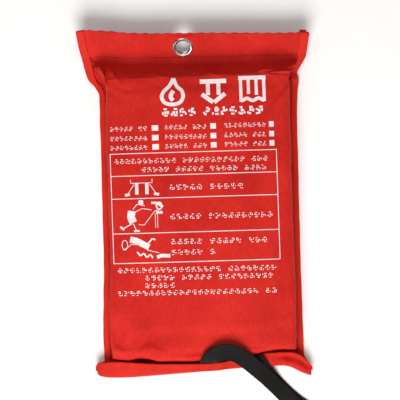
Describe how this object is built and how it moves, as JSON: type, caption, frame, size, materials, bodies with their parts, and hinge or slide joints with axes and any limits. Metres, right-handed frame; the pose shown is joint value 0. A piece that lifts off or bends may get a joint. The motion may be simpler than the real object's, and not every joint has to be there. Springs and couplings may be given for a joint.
{
  "type": "fire blanket in a soft pouch",
  "caption": "Soft red sewn pouch with a hanging header and eyelet, a concertina-folded glass-fibre blanket inside and black webbing pull tapes at its open mouth.",
  "frame": {"origin": "under the middle of the back panel, on the surface that the pouch lies on", "axes": "+Y from the mouth to the header, +Z out of the front panel, +X to the right seen from the front"},
  "size_m": [0.2412, 0.3924, 0.0381],
  "materials": {
    "pouch_fabric": "ribbed woven nylon with a slight sheen",
    "binding_tape": "ribbed woven binding tape, folded over the edge",
    "eyelet_metal": "bright nickel plating",
    "closure": "hook and loop tape",
    "thread": "polyester sewing thread",
    "glass_cloth": "coated woven glass fibre",
    "webbing": "ribbed woven webbing"
  },
  "bodies": {
    "pouch": {"back_panel": "pouch_fabric", "front_panel": "pouch_fabric", "header_facing": "pouch_fabric", "left_binding": "binding_tape", "right_binding": "binding_tape", "bottom_hem": "binding_tape", "front_mouth_hem": "binding_tape", "eyelet": "eyelet_metal", "eyelet_washer": "eyelet_metal", "hook_strip": "closure", "loop_strip": "closure", "header_seam": "thread", "top_edge_seam": "thread", "left_seam": "thread", "right_seam": "thread", "bottom_hem_seam": "thread", "front_hem_seam": "thread"},
    "blanket": {"folded_blanket": "glass_cloth", "left_tape_end": "webbing", "right_tape_end": "webbing", "tape_stitches": "thread", "left_pull_tape": "webbing", "right_pull_tape": "webbing"}
  },
  "joints": [
    {"name": "blanket_pull", "type": "slide", "parent": "pouch", "child": "blanket", "axis": [0, -1, 0], "range_m": [0, 0.29]}
  ]
}
